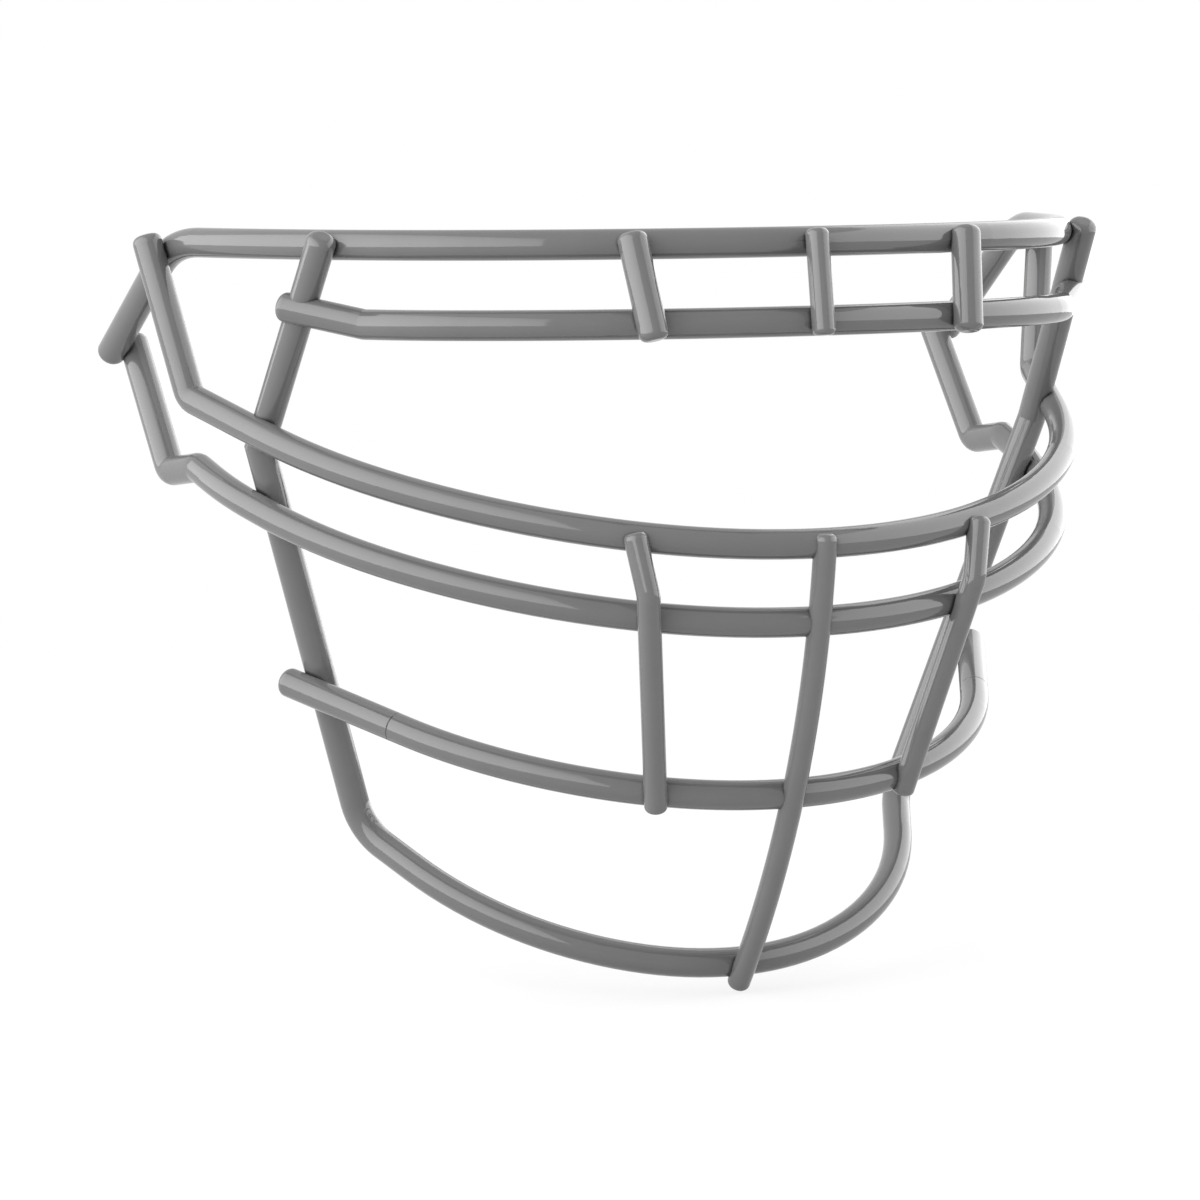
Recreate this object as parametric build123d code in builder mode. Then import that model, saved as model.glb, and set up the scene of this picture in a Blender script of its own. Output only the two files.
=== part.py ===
from build123d import *
import os
from math import atan2, cos, degrees, radians, sin, sqrt

# Football helmet facemask: a welded cage of bent steel wires under a grey coat.
# The origin is the middle of the top brow bar's axis, where the helmet's brow clips hold it.
# X runs to the wearer's left, Y to the back and Z up, so the front of the cage looks along -Y.
# The cage is alike on both sides of X = 0: left-hand pieces are drawn and then mirrored.

# Wire stock
wire_diameter = 6.4
light_wire_diameter = 5.0
cut_end_round_share = 0.55
tight_bend_share = 0.55

# Top brow bar: rounded front, and legs that run back and down beside the ears
brow_rise = -1.33
top_half_width = 101.3
top_sweep = 76.5
top_outline_shares = [(0.469, 0.1225), (0.8938, 0.6396), (1, 1)]
top_tail = 15.0
top_leg_length = 43.8
top_leg_fall = 37.0
top_leg_toe_out = 1.8
top_leg_bend_radius = 26.1

# Lower brow bar: below the top bar, its ends bent to lie on the uprights
lower_brow_ahead = 3.1
lower_brow_drop = 16.4
lower_brow_half_width = 82.3
lower_brow_sweep = 36.2
lower_brow_outline_shares = [(0.509, 0.192), (0.863, 0.638), (1, 1)]
lower_brow_tail = 4.0
lower_brow_overrun = 4.4

# Brow ties, from the top bar to the lower brow bar
tie_top_overrun = 1.8
tie_bottom_overrun = 4.2
centre_tie_top_overrun = 2.0
centre_tie_bottom_overrun = 3.7

# Upper face bar: under the eye opening, its ends bent up to the top bar
upper_face_ahead = 6.7
upper_face_drop = 62.6
upper_face_rise = 21.9
upper_face_half_width = 97.0
upper_face_sweep = 69.5
upper_face_outline_shares = [(0.446, 0.143), (0.847, 0.598), (1, 1)]
upper_face_tail = 25.2
upper_face_past_corner = 0.1
upper_face_overrun = 3.0

# Lower face bar: it passes outside the uprights, steps back and turns up to the top bar's legs
lower_face_ahead = 4.4
lower_face_drop = 79.2
lower_face_rise = 23.4
lower_face_rise_run = 75.0
lower_face_outline_shares = [(0.426, 0.123), (0.811, 0.513), (0.990, 0.956), (1, 1), (1.031, 1.213)]
lower_face_tail = 6.5
step_back = 14.4
step_out = 0.7
step_down = 1.9
lower_face_overrun = 1.9

# Jaw bar: a bent middle with a straight end piece welded on at each side
jaw_behind = 7.1
jaw_drop = 117.1
jaw_rise = 13.05
jaw_half_width = 70.0
jaw_sweep = 43.5
jaw_outline_shares = [(0.532, 0.225), (0.912, 0.771), (1, 1)]
jaw_tail = 2.7
jaw_end_length = 31.0
jaw_seam_chamfer = 0.15

# Uprights, and the chin loop that rises to meet them at a mitre
upright_overrun = 2.6
upright_foot_margin = 1.0
chin_behind = 30.7
chin_drop = 156.9
chin_rise = 27.9
chin_rise_run = 50.0
chin_outline_shares = [(0.347, 0.081), (0.770, 0.466)]
chin_side_radius = 70.0
chin_bend_radius = 10.5

# Centre bar and side bars, of the lighter wire
centre_top_overrun = 2.6
centre_bottom_overrun = 3.9
side_bend_height = 7.1
side_bend_radius = 4.0
side_top_overrun = 1.7
side_bottom_overrun = 3.1

# Where the wires cross, as shares of the run from a bar's middle, or of the straight run
tie_on_top_share = 0.253
tie_on_lower_brow_share = 0.392
upright_on_top_share = 0.671
upright_on_upper_face_share = 0.864
upright_on_jaw_end_share = 0.799
lower_brow_on_upright_share = 0.663
lower_face_on_leg_share = 0.928
side_on_upper_face_share = 0.265
side_on_lower_face_share = 0.2365
side_on_jaw_share = 0.341

# How far apart the axes of two welded wires stay, as a share of both radii together
upright_into_top_share = 0.83
upright_into_upper_face_share = 0.56
upright_into_jaw_end_share = 0.83
lower_brow_into_upright_share = 0.20
lower_face_into_upright_share = 0.90
upper_face_into_top_share = 0.98
lower_face_into_leg_share = 0.77
side_bar_into_bars_shares = [0.67, 0.85, 0.61]
centre_bar_into_bars_shares = [0.40, 0.38, 0.41, 0.68]
tie_into_bars_shares = [0.71, 0.80]
centre_tie_into_bars_shares = [0.90, 0.81]

wire_radius = wire_diameter / 2
light_radius = light_wire_diameter / 2
both_wires = wire_radius + wire_radius
wire_and_light = wire_radius + light_radius
tight_bend_radius = wire_diameter * tight_bend_share
mitre_stock = wire_diameter

middle = Vector(0, 0, 0)
outboard = Vector(1, 0, 0)
ahead = Vector(0, -1, 0)

os.makedirs("parts", exist_ok=True)


def save(piece, name):
    """Label a finished piece and write it"""
    piece.part.label = name
    export_step(piece.part, f"parts/{name}.step")


def bar_plane(behind, drop, rise, run):
    """Plane in which a bar is bent, through the bar's middle and rising so far over a level run"""
    return Plane(origin=(0, behind, -drop), x_dir=outboard, z_dir=(0, -rise, run))


def half_bar(plane, outline_shares, half_width, sweep_back):
    """Axis of a bar's left half, as arcs that follow on from each other"""
    with BuildLine() as flat:
        point, heading = middle, outboard
        for across_share, back_share in outline_shares:
            knot = (half_width * across_share, sweep_back * back_share)
            arc = TangentArc(point, knot, tangent=heading)
            point, heading = arc @ 1, arc % 1
    return flat.wire().moved(plane.location)


def with_tail(curve, tail):
    """The same axis with a straight run after it"""
    with BuildLine() as run:
        add(curve)
        Line(curve @ 1, curve @ 1 + (curve % 1) * tail)
    return run.wire()


def straight_axis(start, end):
    """Axis of a straight wire"""
    with BuildLine() as axis:
        Line(start, end)
    return axis.wire()


def bent_axis(*points, radius):
    """Axis of straight runs from point to point, with a bend at each corner"""
    with BuildLine() as axis:
        FilletPolyline(*points, radius=radius)
    return axis.wire()


def both_sides(*runs):
    """Axis of a whole bar: the left half's runs, and the same on the right"""
    with BuildLine() as axis:
        for run in runs:
            add(run)
        mirror(about=Plane.YZ)
    return axis.wire()


def towards(start, end):
    """Heading from one point to another"""
    return (end - start).normalized()


def seat(crossing, bar_heading, wire_heading, gap, side):
    """Where a wire's axis passes a bar: a gap from its axis, square to both, on the side given"""
    square = bar_heading.cross(wire_heading).normalized()
    if square.dot(side) < 0:
        square = -square
    return crossing + square * gap


def where_it_meets(plane, start, heading):
    """Where a line passes through a plane"""
    return start + heading * ((plane.origin - start).dot(plane.z_dir) / heading.dot(plane.z_dir))


def bent_wire(axis, radius, cut_ends=(0, 1), butt_ends=()):
    """A blank of wire along its axis, its cut ends rounded over and its butt ends chamfered"""
    with BuildPart() as blank:
        with BuildSketch(Plane(axis @ 0, z_dir=axis % 0)):
            Circle(radius)
        sweep(path=axis)
        rims = blank.edges().filter_by(GeomType.CIRCLE)
        if cut_ends:
            cut_rims = [rims.sort_by_distance(axis @ cut_end)[0] for cut_end in cut_ends]
            fillet(cut_rims, radius=radius * cut_end_round_share)
        if butt_ends:
            butt_rims = [rims.sort_by_distance(axis @ butt_end)[0] for butt_end in butt_ends]
            chamfer(butt_rims, length=jaw_seam_chamfer)
    return blank.part


def on_the_right(blank):
    """The same blank on the wearer's right"""
    with BuildPart() as twin:
        mirror(blank, about=Plane.YZ)
    return twin.part


def weld(bar, wire):
    """Fused metal where a wire is set into a bar: what the two blanks share"""
    with BuildPart() as nugget:
        add(bar)
        add(wire, mode=Mode.INTERSECT)
    return nugget.part


# Blank of the top brow bar
brow_plane = bar_plane(0, 0, brow_rise, top_sweep)
top_curve = half_bar(brow_plane, top_outline_shares, top_half_width, top_sweep)
top_front = with_tail(top_curve, top_tail)
top_corner = top_front @ 1
fall, toe_out = radians(top_leg_fall), radians(top_leg_toe_out)
leg_heading = Vector(cos(fall) * sin(toe_out), cos(fall) * cos(toe_out), -sin(fall))
leg_tip = top_corner + leg_heading * top_leg_length
top_leg = bent_axis(top_curve @ 1, top_corner, leg_tip, radius=top_leg_bend_radius)
top_blank = bent_wire(both_sides(top_curve, top_leg), wire_radius)

# Blank of the upper face bar, bent up to lie against the outside of the top bar's corners
upper_face_plane = bar_plane(
    -upper_face_ahead, upper_face_drop, upper_face_rise, upper_face_sweep
)
upper_face_curve = half_bar(
    upper_face_plane, upper_face_outline_shares, upper_face_half_width, upper_face_sweep
)
upper_face_front = with_tail(upper_face_curve, upper_face_tail)
upper_face_corner = upper_face_front @ 1
past_curve = top_tail + upper_face_past_corner
top_corner_crossing = top_leg.position_at(past_curve, position_mode=PositionMode.LENGTH)
top_corner_heading = top_leg.tangent_at(past_curve, position_mode=PositionMode.LENGTH)
upper_face_seat = seat(
    top_corner_crossing, top_corner_heading, towards(upper_face_corner, top_corner_crossing),
    both_wires * upper_face_into_top_share, outboard,
)
upper_face_leg_heading = towards(upper_face_corner, upper_face_seat)
upper_face_tip = upper_face_seat + upper_face_leg_heading * upper_face_overrun
upper_face_leg = bent_axis(
    upper_face_curve @ 1, upper_face_corner, upper_face_tip, radius=tight_bend_radius
)
upper_face_blank = bent_wire(both_sides(upper_face_curve, upper_face_leg), wire_radius)

# Blank of the upright: ahead of the top bar and inside the upper face bar
top_crossing = top_front @ upright_on_top_share
upper_face_crossing = upper_face_front @ upright_on_upper_face_share
upright_slope = towards(upper_face_crossing, top_crossing)
upright_top_seat = seat(
    top_crossing, top_front % upright_on_top_share, upright_slope,
    both_wires * upright_into_top_share, ahead,
)
upright_low_seat = seat(
    upper_face_crossing, upper_face_front % upright_on_upper_face_share, upright_slope,
    both_wires * upright_into_upper_face_share, -outboard,
)
upright_heading = towards(upright_low_seat, upright_top_seat)
upright_tip = upright_top_seat + upright_heading * upright_overrun
upright_foot = upright_low_seat - upright_heading * (wire_radius + upright_foot_margin)
upright_axis = straight_axis(upright_foot - upright_heading * mitre_stock, upright_tip)
upright_blank = bent_wire(upright_axis, wire_radius, cut_ends=[1])

# Blank of the lower brow bar, its bent ends on the outside of the uprights
lower_brow_plane = bar_plane(-lower_brow_ahead, lower_brow_drop, brow_rise, top_sweep)
lower_brow_curve = half_bar(
    lower_brow_plane, lower_brow_outline_shares, lower_brow_half_width, lower_brow_sweep
)
lower_brow_corner = with_tail(lower_brow_curve, lower_brow_tail) @ 1
upright_crossing = upright_foot + (upright_tip - upright_foot) * lower_brow_on_upright_share
lower_brow_seat = seat(
    upright_crossing, upright_heading, towards(lower_brow_corner, upright_crossing),
    both_wires * lower_brow_into_upright_share, outboard,
)
lower_brow_end_heading = towards(lower_brow_corner, lower_brow_seat)
lower_brow_tip = lower_brow_seat + lower_brow_end_heading * lower_brow_overrun
lower_brow_end = bent_axis(
    lower_brow_curve @ 1, lower_brow_corner, lower_brow_tip, radius=tight_bend_radius
)
lower_brow_blank = bent_wire(both_sides(lower_brow_curve, lower_brow_end), wire_radius)

# Blanks of the jaw bar and of the end piece welded to it
jaw_plane = bar_plane(jaw_behind, jaw_drop, jaw_rise, jaw_sweep)
jaw_curve = half_bar(jaw_plane, jaw_outline_shares, jaw_half_width, jaw_sweep)
jaw_front = with_tail(jaw_curve, jaw_tail)
jaw_seam, jaw_end_heading = jaw_front @ 1, jaw_front % 1
jaw_blank = bent_wire(both_sides(jaw_front), wire_radius, cut_ends=[], butt_ends=[0, 1])
jaw_end_axis = straight_axis(jaw_seam, jaw_seam + jaw_end_heading * jaw_end_length)
jaw_end_blank = bent_wire(jaw_end_axis, wire_radius, cut_ends=[1], butt_ends=[0])

# Blank of the chin loop: it rises inside the jaw bar's end pieces to the foot of the uprights
jaw_crossing = jaw_end_axis @ upright_on_jaw_end_share
riser_seat = seat(
    jaw_crossing, jaw_end_heading, towards(jaw_crossing, upright_foot),
    both_wires * upright_into_jaw_end_share, -outboard,
)
riser_heading = towards(riser_seat, upright_foot)
riser_tip = upright_foot + riser_heading * mitre_stock
mitre_normal = riser_heading + upright_heading
mitre, right_mitre = (
    Plane(
        origin=(side * upright_foot.X, upright_foot.Y, upright_foot.Z),
        z_dir=(side * mitre_normal.X, mitre_normal.Y, mitre_normal.Z),
    )
    for side in (1, -1)
)
chin_plane = bar_plane(chin_behind, chin_drop, chin_rise, chin_rise_run)
chin_corner = where_it_meets(chin_plane, upright_foot, riser_heading)
chin_reach = chin_plane.to_local_coords(chin_corner)
chin_bow = half_bar(chin_plane, chin_outline_shares, chin_reach.X, chin_reach.Y)
side_centre = chin_bow @ 1 + chin_plane.z_dir.cross(chin_bow % 1) * chin_side_radius
corner_arm = chin_corner - side_centre
straight_length = sqrt(corner_arm.length**2 - chin_side_radius**2)
straight_turn = degrees(atan2(straight_length, chin_side_radius))
side_arm = corner_arm.normalized().rotate(Axis(middle, chin_plane.z_dir), -straight_turn)
side_end = side_centre + side_arm * chin_side_radius
with BuildLine() as chin_side:
    TangentArc(chin_bow @ 1, side_end, tangent=chin_bow % 1)
chin_riser = bent_axis(side_end, chin_corner, riser_tip, radius=chin_bend_radius)
chin_axis = both_sides(chin_bow, chin_side.wire(), chin_riser)
chin_blank = bent_wire(chin_axis, wire_radius, cut_ends=[])

# Blank of the lower face bar: its bow is as wide as the risers inside it need
lower_face_plane = bar_plane(
    -lower_face_ahead, lower_face_drop, lower_face_rise, lower_face_rise_run
)
riser_crossing = where_it_meets(lower_face_plane, upright_foot, riser_heading)
riser_reach = lower_face_plane.to_local_coords(riser_crossing)
first_bow = half_bar(
    lower_face_plane, lower_face_outline_shares[:-1], riser_reach.X, riser_reach.Y
)
beside = (first_bow % 1).cross(lower_face_plane.z_dir)
square_to_both = (first_bow % 1).cross(riser_heading).normalized()
beside_gap = both_wires * lower_face_into_upright_share / beside.dot(square_to_both)
bow_reach = lower_face_plane.to_local_coords(riser_crossing + beside * beside_gap)
lower_face_curve = half_bar(
    lower_face_plane, lower_face_outline_shares, bow_reach.X, bow_reach.Y
)
lower_face_front = with_tail(lower_face_curve, lower_face_tail)
lower_face_corner = lower_face_front @ 1
step_corner = lower_face_corner + Vector(step_out, step_back, -step_down)
leg_crossing = top_corner + leg_heading * top_leg_length * lower_face_on_leg_share
lower_face_seat = seat(
    leg_crossing, leg_heading, towards(step_corner, leg_crossing),
    both_wires * lower_face_into_leg_share, -outboard,
)
lower_face_leg_heading = towards(step_corner, lower_face_seat)
lower_face_tip = lower_face_seat + lower_face_leg_heading * lower_face_overrun
lower_face_leg = bent_axis(
    lower_face_curve @ 1, lower_face_corner, step_corner, lower_face_tip,
    radius=[tight_bend_radius, tight_bend_radius],
)
lower_face_blank = bent_wire(both_sides(lower_face_curve, lower_face_leg), wire_radius)

# Blank of the side bar, on the front of the two face bars and of the jaw bar
side_on_upper, side_on_lower, side_on_jaw = (
    upper_face_front @ side_on_upper_face_share,
    lower_face_front @ side_on_lower_face_share,
    jaw_curve @ side_on_jaw_share,
)
side_gaps = [wire_and_light * into_share for into_share in side_bar_into_bars_shares]
side_slope = towards(side_on_jaw, side_on_lower)
side_upper_seat = seat(
    side_on_upper, upper_face_front % side_on_upper_face_share,
    towards(side_on_lower, side_on_upper), side_gaps[0], ahead,
)
side_lower_seat = seat(
    side_on_lower, lower_face_front % side_on_lower_face_share, side_slope, side_gaps[1], ahead
)
side_jaw_seat = seat(
    side_on_jaw, jaw_curve % side_on_jaw_share, side_slope, side_gaps[2], ahead
)
side_heading = towards(side_jaw_seat, side_lower_seat)
side_corner = side_lower_seat + side_heading * side_bend_height
side_top = side_upper_seat + towards(side_corner, side_upper_seat) * side_top_overrun
side_bottom = side_jaw_seat - side_heading * side_bottom_overrun
side_axis = bent_axis(side_bottom, side_corner, side_top, radius=side_bend_radius)
side_blank = bent_wire(side_axis, light_radius)

# Blank of the centre bar: an arc over the face bars and the jaw bar, and one on to the chin loop
crossed = [plane.origin for plane in (upper_face_plane, lower_face_plane, jaw_plane, chin_plane)]
above, below = crossed[:1] + crossed[:-1], crossed[1:] + crossed[-1:]
centre_seats = [
    seat(crossing, outboard, towards(low, high), wire_and_light * into_share, ahead)
    for crossing, low, high, into_share in zip(
        crossed, below, above, centre_bar_into_bars_shares
    )
]
with BuildLine() as centre_axis:
    bow = ThreePointArc(*centre_seats[:3])
    chin_run = TangentArc(bow @ 1, centre_seats[3], tangent=bow % 1)
    Line(bow @ 0 - (bow % 0) * centre_top_overrun, bow @ 0)
    Line(chin_run @ 1, chin_run @ 1 + (chin_run % 1) * centre_bottom_overrun)
centre_blank = bent_wire(centre_axis.wire(), light_radius)

# Blanks of the brow ties, on the front of both brow bars
tie_top_crossing = top_front @ tie_on_top_share
tie_low_crossing = lower_brow_curve @ tie_on_lower_brow_share
tie_slope = towards(tie_low_crossing, tie_top_crossing)
tie_top_gap, tie_low_gap = (both_wires * into_share for into_share in tie_into_bars_shares)
tie_top_seat = seat(
    tie_top_crossing, top_front % tie_on_top_share, tie_slope, tie_top_gap, ahead
)
tie_low_seat = seat(
    tie_low_crossing, lower_brow_curve % tie_on_lower_brow_share, tie_slope, tie_low_gap, ahead
)
tie_heading = towards(tie_low_seat, tie_top_seat)
tie_axis = straight_axis(
    tie_low_seat - tie_heading * tie_bottom_overrun, tie_top_seat + tie_heading * tie_top_overrun
)
tie_blank = bent_wire(tie_axis, wire_radius)

centre_tie_slope = towards(lower_brow_plane.origin, middle)
centre_top_gap, centre_low_gap = (
    wire_and_light * into_share for into_share in centre_tie_into_bars_shares
)
centre_tie_top_seat = seat(middle, outboard, centre_tie_slope, centre_top_gap, ahead)
centre_tie_low_seat = seat(
    lower_brow_plane.origin, outboard, centre_tie_slope, centre_low_gap, ahead
)
centre_tie_heading = towards(centre_tie_low_seat, centre_tie_top_seat)
centre_tie_axis = straight_axis(
    centre_tie_low_seat - centre_tie_heading * centre_tie_bottom_overrun,
    centre_tie_top_seat + centre_tie_heading * centre_tie_top_overrun,
)
centre_tie_blank = bent_wire(centre_tie_axis, light_radius)

# What crosses each bar, on both sides
upright_blanks = [upright_blank, on_the_right(upright_blank)]
side_blanks = [side_blank, on_the_right(side_blank)]
tie_blanks = [tie_blank, centre_tie_blank, on_the_right(tie_blank)]
jaw_ends = [jaw_end_blank, on_the_right(jaw_end_blank)]
on_top = tie_blanks + upright_blanks + [upper_face_blank, lower_face_blank]
on_lower_brow = tie_blanks + upright_blanks
on_upper_face = side_blanks + [centre_blank] + upright_blanks
on_lower_face = side_blanks + [centre_blank, chin_blank]
on_jaw = side_blanks + [centre_blank]

# Bars that run from side to side
with BuildPart() as top_brow_bar:
    add(top_blank)
    add(on_top, mode=Mode.SUBTRACT)
save(top_brow_bar, "top_brow_bar")

with BuildPart() as lower_brow_bar:
    add(lower_brow_blank)
    add(on_lower_brow, mode=Mode.SUBTRACT)
save(lower_brow_bar, "lower_brow_bar")

with BuildPart() as upper_face_bar:
    add(upper_face_blank)
    add(on_upper_face + [top_blank], mode=Mode.SUBTRACT)
save(upper_face_bar, "upper_face_bar")

with BuildPart() as lower_face_bar:
    add(lower_face_blank)
    add(on_lower_face + [top_blank], mode=Mode.SUBTRACT)
save(lower_face_bar, "lower_face_bar")

with BuildPart() as jaw_bar:
    add(jaw_blank)
    add(on_jaw, mode=Mode.SUBTRACT)
save(jaw_bar, "jaw_bar")

with BuildPart() as chin_loop:
    add(chin_blank)
    split(bisect_by=mitre, keep=Keep.BOTTOM)
    split(bisect_by=right_mitre, keep=Keep.BOTTOM)
    add([lower_face_blank, centre_blank] + jaw_ends, mode=Mode.SUBTRACT)
save(chin_loop, "chin_loop")

# Wires that tie the bars together
with BuildPart() as centre_bar:
    add(centre_blank)
    add([upper_face_blank, lower_face_blank, jaw_blank, chin_blank], mode=Mode.SUBTRACT)
save(centre_bar, "centre_bar")

with BuildPart() as middle_brow_tie:
    add(centre_tie_blank)
    add([top_blank, lower_brow_blank], mode=Mode.SUBTRACT)
save(middle_brow_tie, "middle_brow_tie")

with BuildPart() as brow_tie_left:
    add(tie_blank)
    add([top_blank, lower_brow_blank], mode=Mode.SUBTRACT)

with BuildPart() as side_bar_left:
    add(side_blank)
    add([upper_face_blank, lower_face_blank, jaw_blank], mode=Mode.SUBTRACT)

with BuildPart() as upright_left:
    add(upright_blank)
    split(bisect_by=mitre, keep=Keep.TOP)
    add([top_blank, lower_brow_blank, upper_face_blank], mode=Mode.SUBTRACT)

with BuildPart() as jaw_bar_end_left:
    add(jaw_end_blank)
    add(chin_blank, mode=Mode.SUBTRACT)

# The left piece of each pair, and its twin on the right
pairs = {
    "brow_tie": brow_tie_left,
    "side_bar": side_bar_left,
    "upright": upright_left,
    "jaw_bar_end": jaw_bar_end_left,
}
for name, left in pairs.items():
    save(left, f"{name}_left")
    with BuildPart() as right:
        mirror(left.part, about=Plane.YZ)
    save(right, f"{name}_right")

# Welds, grouped by the bar that they are on
welded = {
    "top_brow_bar": [(top_blank, wire) for wire in on_top],
    "lower_brow_bar": [(lower_brow_blank, wire) for wire in on_lower_brow],
    "upper_face_bar": [(upper_face_blank, wire) for wire in on_upper_face],
    "lower_face_bar": [(lower_face_blank, wire) for wire in on_lower_face],
    "jaw_bar": [(jaw_blank, wire) for wire in on_jaw] + [(end, chin_blank) for end in jaw_ends],
    "chin_loop": [(chin_blank, centre_blank)],
}
for bar_name, joints in welded.items():
    nuggets = [weld(bar, wire) for bar, wire in joints]
    with BuildPart() as welds:
        add(nuggets)
    save(welds, f"welds_on_{bar_name}")
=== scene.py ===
import math

import bpy
from mathutils import Matrix, Vector


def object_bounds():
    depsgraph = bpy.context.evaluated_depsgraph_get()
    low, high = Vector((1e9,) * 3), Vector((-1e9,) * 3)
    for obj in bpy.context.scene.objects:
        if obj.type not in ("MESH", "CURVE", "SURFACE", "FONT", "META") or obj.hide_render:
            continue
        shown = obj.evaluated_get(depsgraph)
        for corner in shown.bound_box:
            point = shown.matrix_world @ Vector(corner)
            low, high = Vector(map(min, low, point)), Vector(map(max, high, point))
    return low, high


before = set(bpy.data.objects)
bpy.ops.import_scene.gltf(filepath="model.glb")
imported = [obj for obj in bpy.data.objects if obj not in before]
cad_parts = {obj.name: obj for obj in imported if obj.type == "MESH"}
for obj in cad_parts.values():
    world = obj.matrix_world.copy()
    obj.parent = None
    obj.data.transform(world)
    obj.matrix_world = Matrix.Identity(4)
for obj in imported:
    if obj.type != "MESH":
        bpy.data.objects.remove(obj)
cad_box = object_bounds()


# The photographer's camera: a long lens, a little to the wearer's right and a little above.
# Its place and angles come from fitting the cage's wires to their places in the photograph.
photo_azimuth = math.radians(-26.35)
photo_elevation = math.radians(6.23)
lens_focal_mm = 160.1
sensor_width_mm = 36.0
camera_place = Vector((-0.53244, -0.97838, 0.04635))

camera_right = Vector((math.cos(photo_azimuth), math.sin(photo_azimuth), 0))
camera_back = Vector((
    math.sin(photo_azimuth) * math.cos(photo_elevation),
    -math.cos(photo_azimuth) * math.cos(photo_elevation),
    math.sin(photo_elevation),
))
camera_up = camera_back.cross(camera_right)
camera_data = bpy.data.cameras.new("studio_camera")
camera_data.lens = lens_focal_mm
camera_data.sensor_fit = "HORIZONTAL"
camera_data.sensor_width = sensor_width_mm
camera = bpy.data.objects.new("studio_camera", camera_data)
camera.matrix_world = Matrix.Translation(camera_place) @ Matrix(
    (camera_right, camera_up, camera_back)
).transposed().to_4x4()
bpy.context.scene.collection.objects.link(camera)
bpy.context.scene.camera = camera


# The bars of main wire: the brow, face and jaw bars with their end pieces, the uprights, the
# outer ties and the chin loop. Each is round steel wire, bent cold. The welded cage is dipped hot
# in nylon powder, which melts to a smooth mid grey skin, glossy, with a faint orange peel.
def linear(hex_colour):
    """The linear colour of an sRGB hex value"""
    levels = [int(hex_colour[i:i + 2], 16) / 255 for i in (0, 2, 4)]
    return [v / 12.92 if v <= 0.04045 else ((v + 0.055) / 1.055) ** 2.4 for v in levels] + [1]


def node(tree, kind, settings, links):
    """A node with its settings, its inputs (by name or number) fed by other nodes' outputs"""
    new = tree.nodes.new(kind)
    for name, value in settings.items():
        if name in new.inputs:
            new.inputs[name].default_value = value
        else:
            setattr(new, name, value)
    for name, output in links.items():
        tree.links.new(output, new.inputs[name])
    return new


def nylon_coat(
    name, thin_grey, thick_grey, painted_corner_shade_grey, peel_width_mm, peel_depth_mm, roughness
):
    """Nylon powder melted over steel: its greys where thin and thick, its painted corner shade
    grey, its peel
    """
    mm_in_a_metre = 1000
    coat = bpy.data.materials.new(name)
    coat.use_nodes = True
    tree = coat.node_tree
    tree.nodes.clear()
    place = node(tree, "ShaderNodeTexCoord", {}, {}).outputs["Object"]

    # the skin runs a little thicker and thinner as it melts, in patches as wide as the wire
    patch_width_mm = 7.0
    patches = node(
        tree, "ShaderNodeTexNoise",
        {"Scale": mm_in_a_metre / patch_width_mm, "Detail": 3.0}, {"Vector": place},
    ).outputs["Fac"]
    skin_colour = node(
        tree, "ShaderNodeMix",
        {"data_type": "RGBA", "A": linear(thin_grey), "B": linear(thick_grey)},
        {"Factor": patches},
    ).outputs["Result"]

    # painted shade: where two wires meet, the colour is darkened by ambient occlusion towards a
    # dark grey, as shade falls in the corner
    painted_shade_reach_mm = 0.9
    deep_corner, open_surface = 0.35, 0.9
    openness = node(
        tree, "ShaderNodeAmbientOcclusion",
        {"Distance": painted_shade_reach_mm / mm_in_a_metre, "samples": 8}, {},
    ).outputs["AO"]
    # weight of the painted shade: 1 in the tightest corners, 0 on the open surface
    corner = node(
        tree, "ShaderNodeMapRange",
        {"From Min": deep_corner, "From Max": open_surface, "To Min": 1.0, "To Max": 0.0},
        {"Value": openness},
    ).outputs["Result"]
    # the coat's colour, darkened towards the painted shade grey in the corners
    colour = node(
        tree, "ShaderNodeMix", {"data_type": "RGBA", "B": linear(painted_corner_shade_grey)},
        {"Factor": corner, "A": skin_colour},
    ).outputs["Result"]

    # the gloss: an even shine, a shade softer where the skin is thick
    thin_patch, thick_patch = 0.3, 0.7
    softest = 1.6
    rough = node(
        tree, "ShaderNodeMapRange",
        {
            "From Min": thin_patch, "From Max": thick_patch,
            "To Min": roughness, "To Max": roughness * softest,
        },
        {"Value": patches},
    ).outputs["Result"]

    # the orange peel, and on it the finest nibs of powder, drawn 0.5 mm wide so that they show
    nib_width_mm = 0.5
    nib_depth_mm = peel_depth_mm / 12
    peel = node(
        tree, "ShaderNodeTexNoise",
        {"Scale": mm_in_a_metre / peel_width_mm, "Detail": 1.0}, {"Vector": place},
    ).outputs["Fac"]
    nibs = node(
        tree, "ShaderNodeTexNoise",
        {"Scale": mm_in_a_metre / nib_width_mm, "Detail": 1.0}, {"Vector": place},
    ).outputs["Fac"]
    peeled = node(
        tree, "ShaderNodeBump",
        {"Strength": 1.0, "Distance": peel_depth_mm / mm_in_a_metre}, {"Height": peel},
    ).outputs["Normal"]
    skin = node(
        tree, "ShaderNodeBump",
        {"Strength": 1.0, "Distance": nib_depth_mm / mm_in_a_metre},
        {"Height": nibs, "Normal": peeled},
    ).outputs["Normal"]
    shader = node(
        tree, "ShaderNodeBsdfPrincipled", {"IOR": 1.53, "Metallic": 0.0},
        {"Base Color": colour, "Roughness": rough, "Normal": skin},
    ).outputs["BSDF"]
    node(tree, "ShaderNodeOutputMaterial", {}, {"Surface": shader})
    return coat


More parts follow.
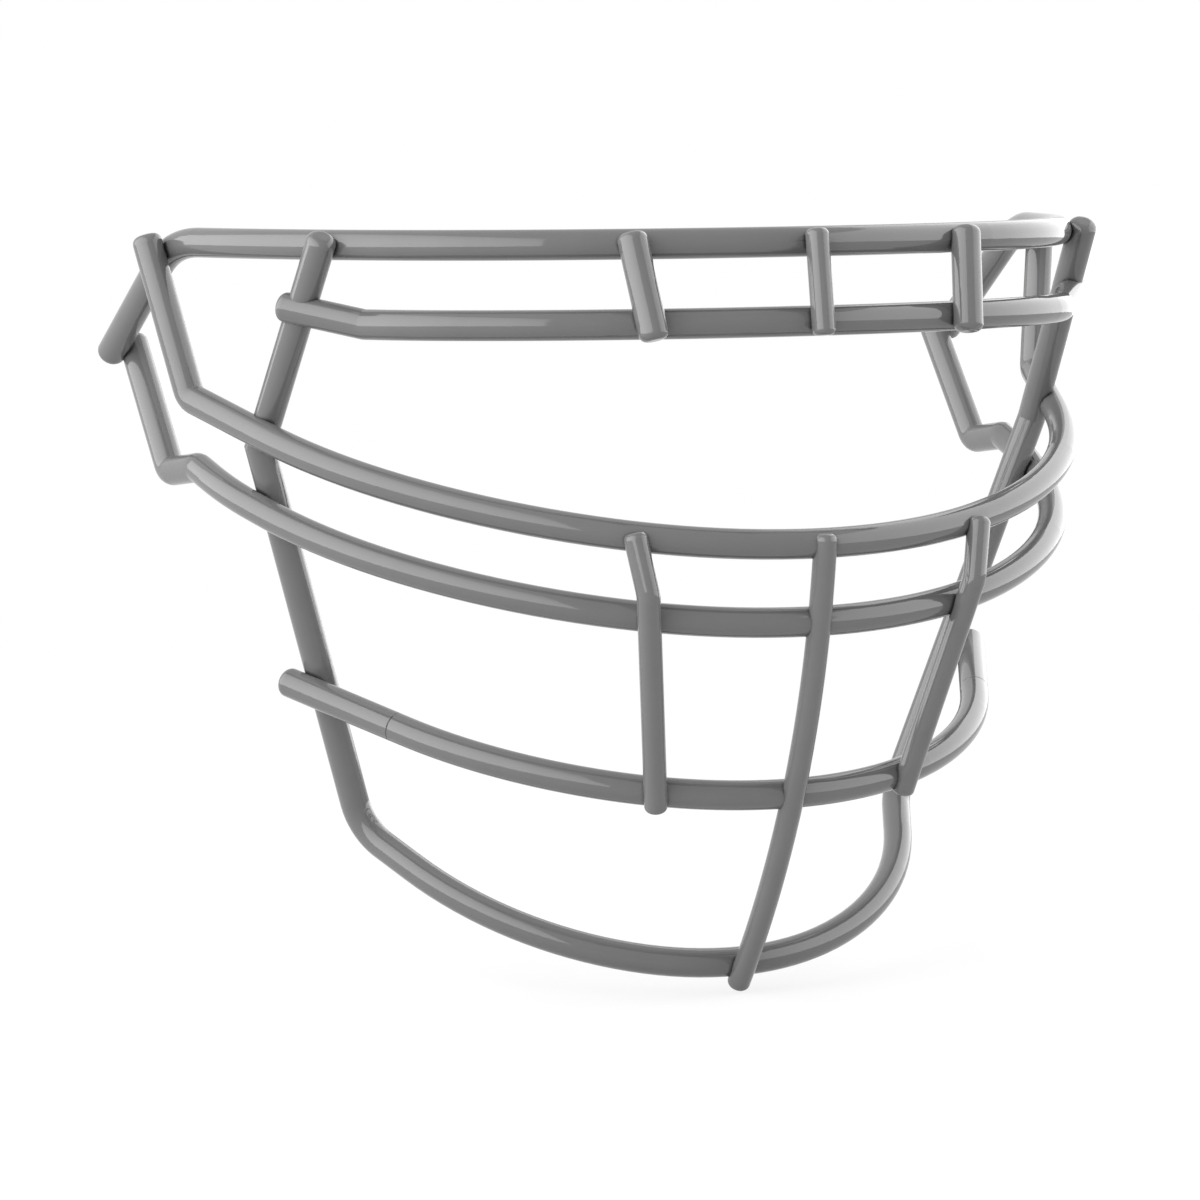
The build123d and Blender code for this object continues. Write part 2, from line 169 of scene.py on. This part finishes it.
def give_coat(slot_name, coat):
    """Puts the coat on every wire or weld of the cage that takes its finish from the slot"""
    for cad_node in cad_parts.values():
        for material_slot in cad_node.material_slots:
            finish = material_slot.material
            if finish and finish.name.split(".")[0] == slot_name:
                material_slot.material = coat


# the corner grey given here is painted shade for where the wires meet
give_coat("wire_coat", nylon_coat(
    "nylon_dip_coat_on_main_wire", thin_grey="656565", thick_grey="6A6A6A", painted_corner_shade_grey="383838",
    peel_width_mm=2.4, peel_depth_mm=0.006, roughness=0.05,
))


# The light wires: the centre bar, the two side bars and the middle tie, of thinner steel wire,
# welded to the front of the bars. The same dip leaves a slightly thinner skin on them, so the
# grey is a touch lighter and the peel finer.
# the corner grey given here is painted shade for where the wires meet
give_coat("light_wire_coat", nylon_coat(
    "nylon_dip_coat_on_light_wire", thin_grey="676767", thick_grey="6C6C6C", painted_corner_shade_grey="3A3A3A",
    peel_width_mm=2.0, peel_depth_mm=0.005, roughness=0.05,
))


# The welds: steel fused where two wires were pressed together, under the same coat. The melt
# gathers round them, so their skin is the thickest and softest of all.
# the corner grey given here is painted shade for where the wires meet
give_coat("weld_coat", nylon_coat(
    "nylon_dip_coat_over_welds", thin_grey="646464", thick_grey="6A6A6A", painted_corner_shade_grey="363636",
    peel_width_mm=3.0, peel_depth_mm=0.008, roughness=0.07,
))


# The studio floor: a seamless pale card under the cage, which keeps the cage's soft shadow.
# It shows white to the camera and in reflections, and evens out to plain white further off.
floor_half_size = 40.0
floor_gap = 0.0005
floor_height = cad_box[0].z - floor_gap
corners = ((-1, -1), (1, -1), (1, 1), (-1, 1))
floor_mesh = bpy.data.meshes.new("studio_floor")
floor_mesh.from_pydata(
    [(x * floor_half_size, y * floor_half_size, floor_height) for x, y in corners],
    [], [(0, 1, 2, 3)],
)
floor = bpy.data.objects.new("studio_floor", floor_mesh)
bpy.context.scene.collection.objects.link(floor)
card = bpy.data.materials.new("pale_matt_card")
card.use_nodes = True
tree = card.node_tree
tree.nodes.clear()


def seen_share(tree):
    """1 for rays of the camera, of glossy reflections and of transmission, else 0"""
    path = node(tree, "ShaderNodeLightPath", {}, {}).outputs
    share = path["Is Camera Ray"]
    for kind in ("Is Glossy Ray", "Is Transmission Ray"):
        share = node(
            tree, "ShaderNodeMath", {"operation": "MAXIMUM"}, {0: share, 1: path[kind]}
        ).outputs[0]
    return share


# under the cage the card keeps a fifth of its shade, and from 0.8 m out it is plain white
shade_until, plain_from = 0.3, 0.8
evenness_near, evenness_far = 0.8, 1.0
seen = seen_share(tree)
place = node(tree, "ShaderNodeTexCoord", {}, {}).outputs["Object"]
distance = node(
    tree, "ShaderNodeVectorMath", {"operation": "LENGTH"}, {"Vector": place}
).outputs["Value"]
evenness = node(
    tree, "ShaderNodeMapRange",
    {
        "From Min": shade_until, "From Max": plain_from,
        "To Min": evenness_near, "To Max": evenness_far,
    },
    {"Value": distance},
).outputs["Result"]
white_share = node(
    tree, "ShaderNodeMath", {"operation": "MULTIPLY"}, {0: seen, 1: evenness}
).outputs[0]
card_colour = node(
    tree, "ShaderNodeMix", {"data_type": "RGBA", "A": linear("D2D2D2"), "B": linear("FFFFFF")},
    {"Factor": seen},
).outputs["Result"]
matt = node(tree, "ShaderNodeBsdfDiffuse", {}, {"Color": card_colour}).outputs["BSDF"]
white = node(
    tree, "ShaderNodeEmission", {"Color": linear("FFFFFF"), "Strength": 1.0}, {}
).outputs["Emission"]
mix = node(tree, "ShaderNodeMixShader", {}, {"Fac": white_share, 1: matt, 2: white}).outputs[0]
node(tree, "ShaderNodeOutputMaterial", {}, {"Surface": mix})
floor_mesh.materials.append(card)


# The studio's light: two tall soft boxes, one at each side of the cage, that stand on the floor
# and reach from well before the cage to well behind it, in a pale room. Their places come from
# the long bands that they leave on the wires in the photograph.
def soft_box(name, place, size, watts, aim):
    """A rectangular soft box with a grid over it, so that it fades towards its ends"""
    grid_spread = math.radians(150)
    lamp = bpy.data.lights.new(name, "AREA")
    lamp.shape = "RECTANGLE"
    lamp.size, lamp.size_y = size
    lamp.energy = watts
    lamp.spread = grid_spread
    box = bpy.data.objects.new(name, lamp)
    box.location = place
    box.rotation_euler = Vector(aim).to_track_quat("-Z", "Y").to_euler()
    box.visible_camera = False
    bpy.context.scene.collection.objects.link(box)


soft_box(
    "soft_box_left", place=(-0.75, -0.11, 0.75), size=(2.2, 1.8), watts=29, aim=(1, 0, 0)
)
soft_box(
    "soft_box_right", place=(0.75, -0.11, 0.46), size=(2.2, 1.22), watts=14, aim=(-1, 0, 0)
)

# the room lights the cage at a quarter of white, and shows white to the camera and the gloss
world = bpy.data.worlds.new("pale_room")
bpy.context.scene.world = world
world.use_nodes = True
tree = world.node_tree
tree.nodes.clear()
room = node(
    tree, "ShaderNodeBackground", {"Color": linear("FFFFFF"), "Strength": 0.25}, {}
).outputs["Background"]
white = node(
    tree, "ShaderNodeBackground", {"Color": linear("FFFFFF"), "Strength": 1.0}, {}
).outputs["Background"]
mix = node(
    tree, "ShaderNodeMixShader", {}, {"Fac": seen_share(tree), 1: room, 2: white}
).outputs[0]
node(tree, "ShaderNodeOutputWorld", {}, {"Surface": mix})

bpy.context.scene.view_settings.view_transform = "Standard"
